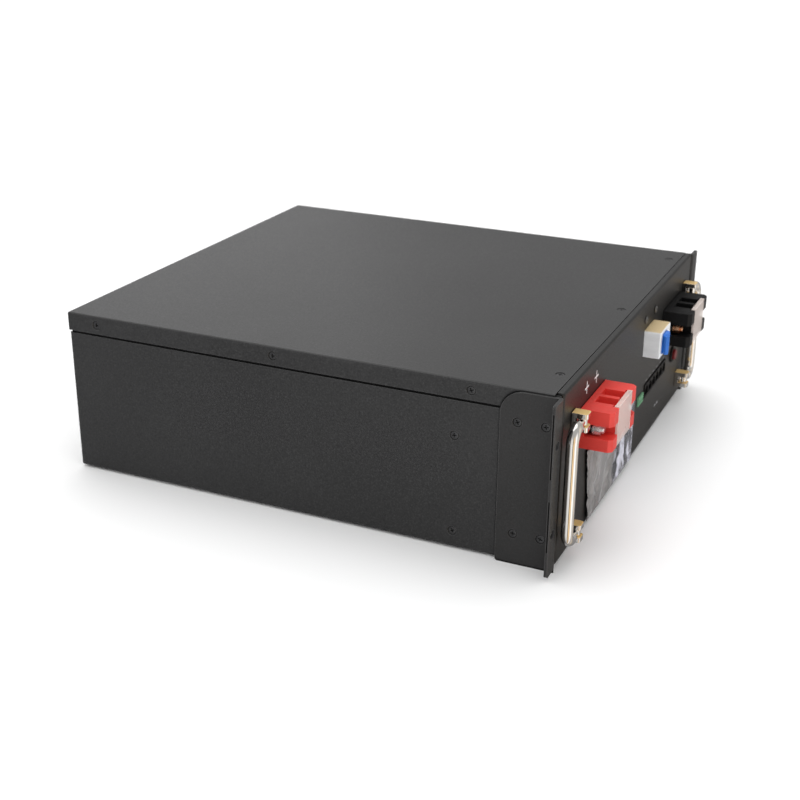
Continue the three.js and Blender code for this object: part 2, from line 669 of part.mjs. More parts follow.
function addDisplay() {
  const { x0, x1, z0, z1 } = SCREEN;
  const pane = join(
    box(x0, x1, PANEL_Y - 1, BEHIND_Y + 1.5, z0, z1),
    box(x0 - 3, x1 + 3, BEHIND_Y, BEHIND_Y + 1.8, z0 - 3, z1 + 3),
  );
  add('display_window', pane, 'glass');
  add('display_film', box(FILM.x0, FILM.x1, PANEL_Y - 2.2, PANEL_Y - 1.4, FILM.z0, FILM.z1), 'film');
}

// ---------------------------------------------------------------- cells and their connections
function cellX(column) {
  return (column - (CELL.count - 1) / 2) * CELL_PITCH;
}

function addCell(name, x, y) {
  const plan = roundedRect(
    x - CELL.width / 2, x + CELL.width / 2, y - CELL.length / 2, y + CELL.length / 2, 3, 2,
  );
  const can = prism(plan, CELL.bottom, CELL_TOP_Z, UP);
  const posts = [-1, 1].map(
    (end) => rod('z', x, y + end * POST_OFFSET, CELL_TOP_Z, 8, 2 * POST_H, 12),
  );
  const vent = prism(roundedRect(x - 6, x + 6, y - 10, y + 10, 4, 2), CELL_TOP_Z - 1, CELL_TOP_Z + 0.6, UP);
  add(name, join(can, ...posts, vent), 'cell');
}

function addCells() {
  for (let i = 0; i < CELL.count; i += 1) {
    addCell(`cell_${String(i + 1).padStart(2, '0')}`, cellX(i), ROW_FRONT_Y);
  }
  for (let i = 0; i < CELL.count; i += 1) {
    addCell(`cell_${String(CELL.count + i + 1).padStart(2, '0')}`, cellX(CELL.count - 1 - i), ROW_REAR_Y);
  }
}

// A moulded tray over one row with the copper links of the series chain set into it.
function addCarrier(name, rowY, firstEnd) {
  const reach = cellX(CELL.count - 1) + CELL.width / 2 - 1;
  let carrier = box(-reach, reach, rowY - 80, rowY + 80, CARRIER_Z, CARRIER_Z + 2);
  for (let i = 0; i < CELL.count - 1; i += 1) {
    const end = i % 2 === 0 ? firstEnd : -firstEnd;
    const x = (cellX(i) + cellX(i + 1)) / 2;
    const y = rowY + end * POST_OFFSET;
    const link = roundedRect(x - 35, x + 35, y - 10, y + 10, 4, 2);
    carrier = join(carrier, prism(link, CARRIER_Z + 1, LINK_TOP_Z, UP));
  }
  add(name, carrier, 'carrier');
}

function addRowLink() {
  const x = cellX(CELL.count - 1);
  const y0 = ROW_FRONT_Y + POST_OFFSET - 9;
  const y1 = ROW_REAR_Y - POST_OFFSET + 9;
  const z = CARRIER_Z + 2 + GAP;
  add('row_link_bar', prism(roundedRect(x - 9, x + 9, y0, y1, 4, 3), z, z + LEAD_T, UP), 'copper');
}

function addPositiveLead() {
  const x = cellX(0);
  const y = ROW_FRONT_Y + POST_OFFSET;
  const drop = STUD_BAR_Y + 3 + GAP;
  const foot = box(x - 7, x + 8, y - 8, y + 8, CARRIER_Z + 2 + GAP, HIGH_LEAD_Z + 1);
  const run = box(x - 7, x + 12, drop, y + 8, HIGH_LEAD_Z, HIGH_LEAD_Z + LEAD_T);
  const tail = box(x - 3, x + 12, drop, drop + LEAD_T, STUD_Z - 8, HIGH_LEAD_Z + 1);
  add('positive_lead', join(foot, run, tail), 'copper');
}

function addNegativeLead() {
  const x = cellX(0);
  const y = ROW_REAR_Y - POST_OFFSET;
  const plan = [
    [x + 8, y - 8],
    [x + 8, y + 8],
    [-210, y + 8],
    [-210, -180],
    [-136, -180],
    [-136, -165],
    [-197, -165],
    [-197, y - 8],
  ];
  const foot = box(x - 8, x + 8, y - 8, y + 8, CARRIER_Z + 2 + GAP, LOW_LEAD_Z + 1);
  add('negative_lead', join(prism(plan, LOW_LEAD_Z, LOW_LEAD_Z + LEAD_T, UP), foot), 'copper');
}

function addOutputLead() {
  const drop = STUD_BAR_Y + 3 + GAP;
  const run = box(135, 150, drop, -164, LOW_LEAD_Z, LOW_LEAD_Z + LEAD_T);
  const tail = box(135, 150, drop, drop + LEAD_T, STUD_Z - 8, LOW_LEAD_Z + 1);
  add('output_lead', join(run, tail), 'copper');
}

// ---------------------------------------------------------------- electronics bay
function addPartition() {
  const x = WALL_INNER_X - GAP;
  const plan = [
    [-x, -153],
    [-x, -138],
    [x, -138],
    [x, -153],
    [x - 1.5, -153],
    [x - 1.5, -139.5],
    [-x + 1.5, -139.5],
    [-x + 1.5, -153],
  ];
  const holes = WALL_SCREW_Z.map((z) => rod('x', 0, WALL_SCREW_Y, z, SCREW_SHANK_R + GAP, 460, 12));
  add('cell_partition', cut(prism(plan, PANEL_BOTTOM_Z, 124, UP), ...holes), 'alloy');
}

function addBoard() {
  const y0 = -172;
  const y1 = -170.4;
  const plate = box(-152, 152, y0, y1, 15, 118);
  const tabs = [[-152, -137], [135, 150]].map(([x0, x1]) => box(x0, x1, y0, y1, 117, LOW_LEAD_Z - GAP));
  const standoffs = [];
  for (const x of [-146, 146]) {
    for (const z of [22, 111]) {
      standoffs.push(rod('y', x, -155, z, 3, 31, 12));
    }
  }
  const parts = [];
  for (let i = 0; i < 6; i += 1) {
    parts.push(rod('y', -110 + i * 16, y0 - 5, 95, 5, 11, 16));
  }
  for (const [x0, x1, z0, z1] of [[-20, 4, 60, 84], [40, 60, 66, 80], [80, 130, 24, 34], [-120, -60, 24, 34]]) {
    parts.push(box(x0, x1, y0 - 4, y0 + 0.5, z0, z1));
  }
  add('bms_board', join(plate, ...tabs, ...standoffs, ...parts), 'board');
}

function addHeatSink() {
  let sink = box(-138, 138, -170.1, -166, 32, 106);
  for (let i = 0; i < 15; i += 1) {
    const x = -133 + i * 19;
    sink = join(sink, box(x - 1.2, x + 1.2, -167, -156, 32, 106));
  }
  add('bms_heat_sink', sink, 'alloy');
}

function addRearSpacer() {
  let spacer = box(-190, 190, ROW_REAR_Y + CELL.length / 2 + 0.5, 215, 3, 124);
  for (let i = 0; i < 7; i += 1) {
    const x = -180 + i * 60;
    spacer = join(spacer, box(x - 1.5, x + 1.5, 214, TRAY_REAR_Y - SHEET - GAP, 3, 124));
  }
  add('rear_spacer', spacer, 'black');
}

// ---------------------------------------------------------------- assembly
addTray();
addLid();
addFrontPanel();
for (const [word, side] of [['left', -1], ['right', 1]]) {
  addEar(`ear_${word}`, side);
  addEarScrews(`ear_screws_${word}`, side);
  addLidSideScrews(`lid_screws_${word}`, side);
  addWallScrews(`wall_screws_${word}`, side);
  addHandleBow(`handle_${word}`, side);
  addHandleBase(`handle_base_${word}_upper`, side, HANDLE_HIGH_Z);
  addHandleBase(`handle_base_${word}_lower`, side, HANDLE_LOW_Z);
}
addLidFrontScrews();
addTerminalBlock('positive_block', POSITIVE_X, 'red');
addTerminalCover('positive_cover', POSITIVE_X);
addStuds('positive_studs', POSITIVE_X, 'zinc');
addTerminalBlock('negative_block', NEGATIVE_X, 'black');
addTerminalCover('negative_cover', NEGATIVE_X);
addStuds('negative_studs', NEGATIVE_X, 'copper');
addBreaker();
addToggle();
addBreakerScrews();
addPowerButton();
addPorts();
addContactSocket();
addDisplay();
addCells();
addCarrier('link_carrier_front', ROW_FRONT_Y, -1);
addCarrier('link_carrier_rear', ROW_REAR_Y, 1);
addRowLink();
addPositiveLead();
addNegativeLead();
addOutputLead();
addPartition();
addBoard();
addHeatSink();
addRearSpacer();

export default group;
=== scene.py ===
"""Looks of a rack-mount battery module: finishes, fine meshes, studio and camera, in metres."""
import math

import bmesh
import bpy
from mathutils import Matrix, Vector, noise

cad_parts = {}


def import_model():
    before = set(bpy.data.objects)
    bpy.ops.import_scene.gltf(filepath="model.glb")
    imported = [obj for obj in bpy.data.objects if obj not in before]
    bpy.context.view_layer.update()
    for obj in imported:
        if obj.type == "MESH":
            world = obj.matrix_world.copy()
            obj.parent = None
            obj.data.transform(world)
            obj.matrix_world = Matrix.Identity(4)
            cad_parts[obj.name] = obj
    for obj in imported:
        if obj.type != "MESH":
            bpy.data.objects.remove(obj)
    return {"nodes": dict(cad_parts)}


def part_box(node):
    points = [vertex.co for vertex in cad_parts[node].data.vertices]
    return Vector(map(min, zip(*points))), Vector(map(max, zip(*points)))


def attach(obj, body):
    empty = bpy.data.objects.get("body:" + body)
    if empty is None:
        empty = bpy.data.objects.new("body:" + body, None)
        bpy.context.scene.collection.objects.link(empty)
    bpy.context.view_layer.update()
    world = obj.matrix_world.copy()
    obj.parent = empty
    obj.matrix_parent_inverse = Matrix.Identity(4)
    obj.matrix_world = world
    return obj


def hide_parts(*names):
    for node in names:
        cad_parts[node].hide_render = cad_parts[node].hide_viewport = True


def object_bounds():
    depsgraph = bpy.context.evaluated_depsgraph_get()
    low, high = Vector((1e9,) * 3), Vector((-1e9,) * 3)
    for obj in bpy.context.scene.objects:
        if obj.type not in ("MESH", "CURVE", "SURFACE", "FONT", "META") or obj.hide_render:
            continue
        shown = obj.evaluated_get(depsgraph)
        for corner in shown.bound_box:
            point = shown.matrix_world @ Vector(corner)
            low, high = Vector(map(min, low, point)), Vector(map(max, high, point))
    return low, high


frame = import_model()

CAD_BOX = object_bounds()
MM = 0.001
ENCLOSURE = "enclosure"
FRONT = Vector((0, -1, 0))


# ---------------------------------------------------------------- material building
def feed(tree, socket, value):
    """Links another node's output to a socket, or sets the socket's own value."""
    if isinstance(value, bpy.types.NodeSocket):
        tree.links.new(value, socket)
    elif isinstance(value, tuple) and len(value) == 3 and len(socket.default_value) == 4:
        socket.default_value = (*value, 1.0)
    else:
        socket.default_value = value


def mix_colour(tree, factor, first, second):
    made = tree.nodes.new("ShaderNodeMix")
    made.data_type = "RGBA"
    feed(tree, made.inputs[0], factor)
    feed(tree, made.inputs[6], first)
    feed(tree, made.inputs[7], second)
    return made.outputs[2]


class Finish:
    """A Principled material that is built up node by node in object space."""

    def __init__(self, name, roughness=0.5, metallic=0.0, specular=0.5):
        self.material = bpy.data.materials.new(name)
        self.material.use_nodes = True
        self.tree = self.material.node_tree
        self.shader = self.tree.nodes["Principled BSDF"]
        self.shader.inputs["Roughness"].default_value = roughness
        self.shader.inputs["Metallic"].default_value = metallic
        self.shader.inputs["Specular IOR Level"].default_value = specular
        self.place = self.tree.nodes.new("ShaderNodeTexCoord").outputs["Object"]

    def feed(self, socket, value):
        feed(self.tree, socket, value)

    def node(self, kind, **inputs):
        made = self.tree.nodes.new(kind)
        for key, value in inputs.items():
            self.feed(made.inputs[key.replace("_", " ")], value)
        return made

    def stretched(self, x, y, z):
        return self.node("ShaderNodeMapping", Vector=self.place, Scale=(x, y, z)).outputs["Vector"]

    def noise(self, size_mm, detail=2.0, place=None, roughness=0.5):
        made = self.node(
            "ShaderNodeTexNoise", Vector=place or self.place, Scale=1 / (size_mm * MM),
            Detail=detail, Roughness=roughness,
        )
        return made.outputs["Fac"]

    def ramp(self, value, low, high, start=0.0, end=1.0):
        made = self.node(
            "ShaderNodeMapRange", Value=value, From_Min=low, From_Max=high, To_Min=start, To_Max=end
        )
        return made.outputs["Result"]

    def math(self, operation, first, second):
        made = self.tree.nodes.new("ShaderNodeMath")
        made.operation = operation
        self.feed(made.inputs[0], first)
        self.feed(made.inputs[1], second)
        return made.outputs[0]

    def mix(self, factor, first, second):
        return mix_colour(self.tree, factor, first, second)

    def edge(self, radius_mm):
        """Near one on outer edges within the radius, zero on flat faces."""
        rounded = self.node("ShaderNodeBevel", Radius=radius_mm * MM)
        rounded.samples = 4
        dot = self.tree.nodes.new("ShaderNodeVectorMath")
        dot.operation = "DOT_PRODUCT"
        self.feed(dot.inputs[0], rounded.outputs["Normal"])
        self.feed(dot.inputs[1], self.tree.nodes.new("ShaderNodeNewGeometry").outputs["Normal"])
        return self.ramp(dot.outputs["Value"], 0.995, 0.8)

    def openness(self, reach_mm):
        """Near zero inside gaps and countersinks of that size, one on open faces: the mask for painted shade.
        """
        shut_in = self.node("ShaderNodeAmbientOcclusion", Distance=reach_mm * MM)
        shut_in.samples = 4
        return self.ramp(shut_in.outputs["AO"], 0.68, 0.97)

    def colour(self, value):
        self.feed(self.shader.inputs["Base Color"], value)

    def rough(self, value):
        self.feed(self.shader.inputs["Roughness"], value)

    def bump(self, height, depth_mm, strength=1.0, round_mm=0.0):
        made = self.node("ShaderNodeBump", Height=height, Strength=strength, Distance=depth_mm * MM)
        if round_mm:
            rounded = self.node("ShaderNodeBevel", Radius=round_mm * MM)
            self.feed(made.inputs["Normal"], rounded.outputs["Normal"])
        self.feed(self.shader.inputs["Normal"], made.outputs["Normal"])


def shaded(colour, factor):
    return tuple(channel * factor for channel in colour)


def powder_coat(name, colour, wear, specular=0.5, speckle=1.0):
    """Fine-textured powder coat: grainy, faintly cloudy, rubbed lighter on edges, painted dark in gaps and
    countersinks as their shade.
    """
    finish = Finish(name, specular=specular)
    cloud = finish.noise(160, 2)
    grain = finish.noise(1.5, 2, roughness=0.7)
    flecks = finish.noise(1.9, 1)
    base = finish.mix(finish.ramp(cloud, 0.3, 0.7), shaded(colour, 0.86), shaded(colour, 1.14))
    dotted = finish.mix(finish.ramp(grain, 0.48, 0.7, 0.0, 0.6 * speckle), base, shaded(colour, 2.2))
    pitted = finish.mix(finish.ramp(flecks, 0.44, 0.3, 0.0, 0.5 * speckle), dotted, shaded(colour, 0.45))
    scuffs = finish.ramp(finish.noise(9, 4), 0.35, 0.75, 0.3, wear)
    rub = finish.math("MULTIPLY", finish.edge(1.0), scuffs)
    lighter_edges = finish.mix(rub, pitted, shaded(colour, 7.0))
    # painted shade: gaps and countersinks get a dark colour and a weaker shine, standing in for their shadow
    outside_painted_gap_shade = finish.openness(2.5)
    finish.colour(finish.mix(outside_painted_gap_shade, shaded(colour, 0.25), lighter_edges))
    shine = finish.ramp(outside_painted_gap_shade, 0.0, 1.0, 0.08, specular)
    finish.feed(finish.shader.inputs["Specular IOR Level"], shine)
    finish.rough(finish.ramp(grain, 0.3, 0.7, 0.36, 0.52))
    finish.bump(grain, 0.14, 0.6, round_mm=0.5)
    return finish.material


def moulded(
    name, colour, roughness=0.42, subsurface=0.0, flow=14, bright_edge=1.35, top_colour=None, specular=0.5
):
    """Moulded plastic: slight flow mottling, satin bump, edges painted a touch brighter as a highlight."""
    finish = Finish(name, roughness, specular=specular)
    flow_marks = finish.noise(flow, 4, finish.stretched(1.0, 0.6, 1.6))
    base = finish.mix(finish.ramp(flow_marks, 0.3, 0.7), shaded(colour, 0.9), shaded(colour, 1.07))
    # painted highlight: every edge is brightened by the bright_edge factor
    lighter_edges = finish.ramp(finish.edge(0.7), 0, 1, 0, 0.45)
    finish.colour(finish.mix(lighter_edges, base, shaded(colour, bright_edge)))
    finish.rough(finish.ramp(finish.noise(6, 3), 0.3, 0.7, roughness - 0.06, roughness + 0.08))
    finish.bump(finish.noise(0.7, 2), 0.04, 0.35)
    if top_colour:
        warm_top(finish, top_colour)
    if subsurface:
        finish.shader.inputs["Subsurface Weight"].default_value = subsurface
        finish.shader.inputs["Subsurface Radius"].default_value = (0.003, 0.0012, 0.001)
    return finish.material


def facing_up(finish):
    """One on faces that look up, zero on upright ones."""
    normal = finish.tree.nodes.new("ShaderNodeNewGeometry").outputs["Normal"]
    height = finish.node("ShaderNodeSeparateXYZ", Vector=normal).outputs["Z"]
    return finish.ramp(height, 0.5, 0.9)


def warm_top(finish, colour):
    """Warms the base colour of upward faces."""
    base = finish.shader.inputs["Base Color"]
    finish.colour(finish.mix(facing_up(finish), base.links[0].from_socket, colour))


def metal(
    name, colour, roughness=0.3, brushed=(1.0, 1.0, 1.0), grain_mm=1.4, tarnish=0.8, top_colour=None, bare=1.0
):
    """Bare or plated metal: fine lines along one direction and faint dull patches."""
    finish = Finish(name, roughness, metallic=bare)
    lines = finish.noise(grain_mm, 3, finish.stretched(*brushed))
    patches = finish.noise(12, 4)
    base = finish.mix(finish.ramp(patches, 0.42, 0.7), colour, shaded(colour, tarnish))
    lighter_edges = finish.ramp(finish.edge(0.5), 0, 1, 0, 0.5)
    finish.colour(finish.mix(lighter_edges, base, shaded(colour, 1.07)))
    dulled = finish.ramp(patches, 0.3, 0.8, roughness, roughness + 0.07)
    finish.rough(finish.math("ADD", finish.ramp(lines, 0.3, 0.7, -0.03, 0.05), dulled))
    finish.bump(lines, 0.02, 0.1)
    if top_colour:
        # painted reflection: upward faces take a warm colour and lose some metallic, standing in for warm
        # surroundings mirrored in them
        warm_top(finish, top_colour)
        upward = finish.math("MULTIPLY", facing_up(finish), 0.7)
        finish.feed(finish.shader.inputs["Metallic"], finish.math("SUBTRACT", 1.0, upward))
    return finish.material


def clear_plastic(name, colour, alpha, roughness=0.3):
    """Thin translucent plastic with handling haze, denser on its edges."""
    finish = Finish(name, roughness)
    haze = finish.noise(40, 3)
    finish.colour(finish.mix(finish.ramp(haze, 0.35, 0.7), shaded(colour, 0.94), colour))
    finish.rough(finish.ramp(haze, 0.3, 0.7, roughness - 0.05, roughness + 0.08))
    finish.bump(finish.noise(1.5, 2), 0.02, 0.2)
    rim = finish.edge(0.8)
    finish.feed(finish.shader.inputs["Alpha"], finish.ramp(rim, 0.1, 0.9, alpha, 0.95))
    return finish.material


def screen_glass():
    """Tinted display pane with faint wiping smears."""
    finish = Finish("screen_glass", 0.12, specular=0.6)
    smear = finish.noise(22, 4, finish.stretched(1.0, 1.0, 0.4))
    finish.colour(finish.mix(smear, (0.006, 0.007, 0.009), (0.016, 0.017, 0.020)))
    finish.rough(finish.ramp(smear, 0.35, 0.7, 0.08, 0.2))
    finish.bump(smear, 0.01, 0.1)
    return finish.material


def protective_film(frosted_below_x):
    """Peel-off film: frosted over the label area, clear over the screen with painted reflections: bright
    creases, sheen, and glare that grows at a slant.
    """
    finish = Finish("film", 0.2, specular=0.7)
    folds = finish.noise(17, 2, finish.stretched(1.0, 1.0, 0.3))
    crease_glints = crease_lines(finish, 18, 0.02)
    sheen = finish.ramp(finish.noise(26, 2, finish.stretched(1.0, 1.0, 0.5)), 0.5, 0.75)
    glare = finish.ramp(finish.noise(11, 2, finish.stretched(1.0, 1.0, 0.45)), 0.44, 0.62)
    slant = finish.ramp(finish.node("ShaderNodeLayerWeight", Blend=0.5).outputs["Facing"], 0.35, 0.65)
    axis = finish.node("ShaderNodeSeparateXYZ", Vector=finish.place).outputs["X"]
    over_screen = finish.ramp(axis, frosted_below_x, frosted_below_x + 1.5 * MM)
    frosted = finish.mix(finish.ramp(folds, 0.35, 0.68), (0.25, 0.24, 0.235), (0.42, 0.41, 0.41))
    faint_crease_glints = finish.math("MULTIPLY", crease_glints, 0.12)
    glints_seen_flat = finish.math("MAXIMUM", faint_crease_glints, finish.math("MULTIPLY", sheen, 0.3))
    # painted reflections: crease lines, sheen and glare brighten the clear film, most where it is seen at a
    # slant
    painted_glints = finish.math("MAXIMUM", glints_seen_flat, finish.math("MULTIPLY", glare, slant))
    clear = finish.mix(painted_glints, (0.22, 0.22, 0.24), (0.86, 0.86, 0.97))
    finish.colour(finish.mix(over_screen, frosted, clear))
    finish.rough(finish.ramp(folds, 0.3, 0.7, 0.14, 0.3))
    finish.bump(finish.math("ADD", folds, finish.math("MULTIPLY", painted_glints, 0.3)), 0.5, 0.5)
    thin = finish.ramp(folds, 0.35, 0.7, 0.24, 0.4)
    veil = finish.math("ADD", thin, finish.math("MULTIPLY", painted_glints, 0.55))
    alpha = finish.mix(over_screen, (0.82, 0.82, 0.82), veil)
    finish.feed(finish.shader.inputs["Alpha"], alpha)
    return finish.material


def crease_lines(finish, size_mm, width):
    """Thin wandering lines, where a noise crosses its middle value."""
    field = finish.noise(size_mm, 2, finish.stretched(1.0, 1.0, 0.45))
    off_middle = finish.math("ABSOLUTE", finish.math("SUBTRACT", field, 0.5), 0.0)
    return finish.ramp(off_middle, width, 0.0)


COAT = powder_coat("coat", (0.0255, 0.0255, 0.0258), wear=0.5)
EAR_COAT = powder_coat("ear_coat", (0.030, 0.0295, 0.0295), wear=0.6, specular=0.28, speckle=0.4)
PANEL_COAT = powder_coat("panel_coat", (0.0115, 0.0112, 0.011), wear=0.4)
BLACK_SCREW = metal("black_oxide", (0.11, 0.11, 0.112), 0.32, grain_mm=0.8, bare=0.85)
CHROME = metal("chrome", (0.95, 0.93, 0.90), 0.045, grain_mm=3.0, tarnish=0.95)
# chrome pivots whose upward faces carry a painted warm reflection
CHROME_PAINTED_WARM_TOP = metal(
    "chrome_painted_warm_top", (0.95, 0.93, 0.90), 0.05, tarnish=0.95, top_colour=(0.95, 0.66, 0.28)
)
ZINC = metal("zinc", (0.92, 0.93, 0.94), 0.16, bare=0.75)
DULL_ZINC = metal("dull_zinc", (0.20, 0.205, 0.21), 0.45)
COPPER = metal("copper_tone", (0.85, 0.47, 0.28), 0.24)
GOLD_PLATE = metal("gold_plate", (0.86, 0.62, 0.25), 0.22)
ALLOY = metal("mill_alloy", (0.62, 0.64, 0.66), 0.36, brushed=(1.0, 1.0, 0.1))
RED = moulded("red_plastic", (0.74, 0.046, 0.034), 0.48, subsurface=0.08, bright_edge=1.2)
BLACK = moulded("black_plastic", (0.005, 0.005, 0.0055), 0.5, bright_edge=3.0, specular=0.2)
GREY = moulded("grey_plastic", (0.84, 0.85, 0.86), 0.45, bright_edge=1.05, top_colour=(0.62, 0.48, 0.27))
BLUE = moulded("blue_plastic", (0.012, 0.15, 0.60), 0.36)
GREEN = moulded("green_plastic", (0.15, 0.36, 0.20), 0.5)
BUTTON_RED = moulded("button_red", (0.17, 0.006, 0.008), 0.4)
CARRIER = moulded("carrier_plastic", (0.62, 0.60, 0.54), 0.5)
BOARD = moulded("circuit_board", (0.012, 0.11, 0.045), 0.34, flow=4, bright_edge=1.8)
CELL = moulded("cell_wrap", (0.03, 0.13, 0.36), 0.33, flow=40)
COVER = clear_plastic("clear_cover", (0.90, 0.79, 0.73), 0.48)
PRINT = moulded("white_print", (0.80, 0.80, 0.80), 0.55)
FAINT_PRINT = moulded("grey_print", (0.22, 0.22, 0.23), 0.6)
SCREEN = screen_glass()


# ---------------------------------------------------------------- mesh helpers
def place(name, mesh, material, body=ENCLOSURE, stands_for=(), slot=None, smooth_deg=40):
    """Links a mesh as a piece that rides on a body."""
    piece = bpy.data.objects.new(name, mesh)
    bpy.context.scene.collection.objects.link(piece)
    mesh.materials.clear()
    mesh.materials.append(material)
    mesh.shade_smooth()
    mesh.set_sharp_from_angle(angle=math.radians(smooth_deg))
    weighted = piece.modifiers.new("weighted", "WEIGHTED_NORMAL")
    weighted.keep_sharp = True
    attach(piece, body)
    if stands_for:
        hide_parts(*stands_for)
    return piece


def to_mesh(bm, name="shape"):
    mesh = bpy.data.meshes.new(name)
    bm.to_mesh(mesh)
    bm.free()
    return mesh


def joined(meshes):
    """Several closed shapes as one mesh."""
    bm = bmesh.new()
    for mesh in meshes:
        bm.from_mesh(mesh)
    return to_mesh(bm)


def carved(body, tool, operation="DIFFERENCE"):
    """A boolean of two meshes."""
    first, second = (bpy.data.objects.new("tmp", mesh) for mesh in (body, tool))
    for obj in (first, second):
        bpy.context.scene.collection.objects.link(obj)
    step = first.modifiers.new("boolean", "BOOLEAN")
    step.operation, step.solver, step.object = operation, "EXACT", second
    graph = bpy.context.evaluated_depsgraph_get()
    result = bpy.data.meshes.new_from_object(first.evaluated_get(graph))
    for obj in (first, second):
        bpy.data.objects.remove(obj)
    return result


def welded(node, whole_faces=True):
    """A CAD node's shape, its triangles merged back into whole flat faces if asked."""
    bm = bmesh.new()
    bm.from_mesh(frame["nodes"][node].data)
    bmesh.ops.remove_doubles(bm, verts=bm.verts, dist=0.002 * MM)
    if whole_faces:
        flat = math.radians(0.6)
        bmesh.ops.dissolve_limit(bm, angle_limit=flat, verts=bm.verts, edges=bm.edges, delimit=set())
    return bm


def splits_cleanly(bm):
    """True if the faces cut into triangles without overlapping themselves."""
    whole = sum(face.calc_area() for face in bm.faces)
    cut = bm.copy()
    bmesh.ops.triangulate(cut, faces=cut.faces)
    pieces = sum(face.calc_area() for face in cut.faces)
    cut.free()
    return abs(pieces - whole) < 0.0007 * whole


def soften(bm, width, segments=3, above_deg=32):
    """Rounds every edge of a mesh that is sharper than an angle."""
    sharp = [
        e for e in bm.edges
        if len(e.link_faces) == 2 and e.calc_face_angle() > math.radians(above_deg)
    ]
    bmesh.ops.bevel(
        bm, geom=sharp, offset=width * MM, offset_type="OFFSET", segments=segments,
        profile=0.5, affect="EDGES", clamp_overlap=True, miter_outer="ARC",
    )


def refined(node, material, width=0.4, segments=2, body=ENCLOSURE, slot=None, above_deg=32):
    """A CAD node's own shape, its edges rounded unless the width is zero, shown in its place."""
    for whole_faces in (True, False):
        bm = welded(node, whole_faces)
        if width:
            soften(bm, width, segments, above_deg)
        if splits_cleanly(bm):
            break
    place(node + "_fine", to_mesh(bm), material, body, (node,), slot)


def toward(direction):
    """A turn that takes +Z to the direction."""
    return Vector((0, 0, 1)).rotation_difference(Vector(direction)).to_matrix().to_4x4()


def lathe(profile, origin, direction, sides=48):
    """A closed turned shape from (radius, height) points in millimetres, heights along the direction."""
    bm = bmesh.new()
    rings = []
    for radius, height in profile:
        if radius < 1e-6:
            rings.append([bm.verts.new((0, 0, height * MM))])
            continue
        ring = []
        for i in range(sides):
            turn = 2 * math.pi * i / sides
            x, y = radius * math.cos(turn), radius * math.sin(turn)
            ring.append(bm.verts.new((x * MM, y * MM, height * MM)))
        rings.append(ring)
    pairs = list(zip(rings, rings[1:]))
    if len(rings[0]) > 1:
        pairs.append((rings[-1], rings[0]))
    for lower, upper in pairs:
        for i in range(sides):
            k = (i + 1) % sides
            below = [lower[i % len(lower)], lower[k % len(lower)]]
            above = [upper[k % len(upper)], upper[i % len(upper)]]
            distinct = list(dict.fromkeys(below + above))
            if len(distinct) > 2:
                bm.faces.new(distinct)
    bmesh.ops.recalc_face_normals(bm, faces=bm.faces)
    bmesh.ops.transform(bm, matrix=Matrix.Translation(Vector(origin)) @ toward(direction), verts=bm.verts)
    return to_mesh(bm)


def prism(points, start, end, axis, round_mm=0.0, segments=2):
    """A drawing of (a, b) points in metres extruded between two places along an axis, its edges rounded."""
    def spot(a, b, c):
        return {"x": (c, a, b), "y": (a, c, b), "z": (a, b, c)}[axis]
    bm = bmesh.new()
    near = [bm.verts.new(spot(a, b, start)) for a, b in points]
    far = [bm.verts.new(spot(a, b, end)) for a, b in points]
    bm.faces.new(near)
    bm.faces.new(far)
    for i in range(len(points)):
        k = (i + 1) % len(points)
        bm.faces.new((near[i], near[k], far[k], far[i]))
    bmesh.ops.recalc_face_normals(bm, faces=bm.faces)
    if round_mm:
        soften(bm, round_mm, segments, 20)
    return to_mesh(bm)


def rectangle(a0, a1, b0, b1):
    return [(a0, b0), (a1, b0), (a1, b1), (a0, b1)]


# ---------------------------------------------------------------- screws
HEAD_R = 3.4  # millimetres, as is the rest of this section
SUNK = 0.45  # the heads sit this far below the sheet
CAD_HEAD_PROUD = 0.1  # the CAD's heads stand this far above it


def countersunk_screw(length):
    """A countersunk cross-recess screw, its head's face at the origin, pointing along +Z."""
    thread = []
    height = -length
    while height < -3.2:
        thread += [(1.7, height), (2.0, height + 0.25), (1.7, height + 0.5)]
        height += 0.7
    head = [(HEAD_R, -0.35), (HEAD_R, -0.12), (HEAD_R - 0.2, 0), (0, 0.06)]
    profile = [(0, -length - 0.4), *thread, (1.9, -2.6), *head]
    body = lathe(profile, (0, 0, 0), (0, 0, 1), 36)
    for turn in (0, math.pi / 2):
        bm = bmesh.new()
        bmesh.ops.create_cube(bm, size=1)
        for vert in bm.verts:
            deep = vert.co.z < 0
            vert.co.x *= (1.6 if deep else 4.9) * MM
            vert.co.y *= (0.7 if deep else 1.05) * MM
            vert.co.z = (-1.9 if deep else 0.4) * MM
        bmesh.ops.rotate(bm, matrix=Matrix.Rotation(turn, 3, "Z"), verts=bm.verts)
        body = carved(body, to_mesh(bm))
    return body


def head_centres(node, axis, side):
    """Middles of a screw set's heads: the clusters of its outermost points."""
    points = [v.co.copy() for v in frame["nodes"][node].data.vertices]
    rim = max(side * p[axis] for p in points)
    outer = [p for p in points if side * p[axis] > rim - 0.3 * MM]
    clusters = []
    for p in outer:
        near = [c for c in clusters if (c[0] - p).length < 9 * MM]
        if near:
            near[0].append(p)
        else:
            clusters.append([p])
    centres = []
    for cluster in clusters:
        low = Vector(min(p[i] for p in cluster) for i in range(3))
        high = Vector(max(p[i] for p in cluster) for i in range(3))
        centres.append((low + high) / 2)
    return centres


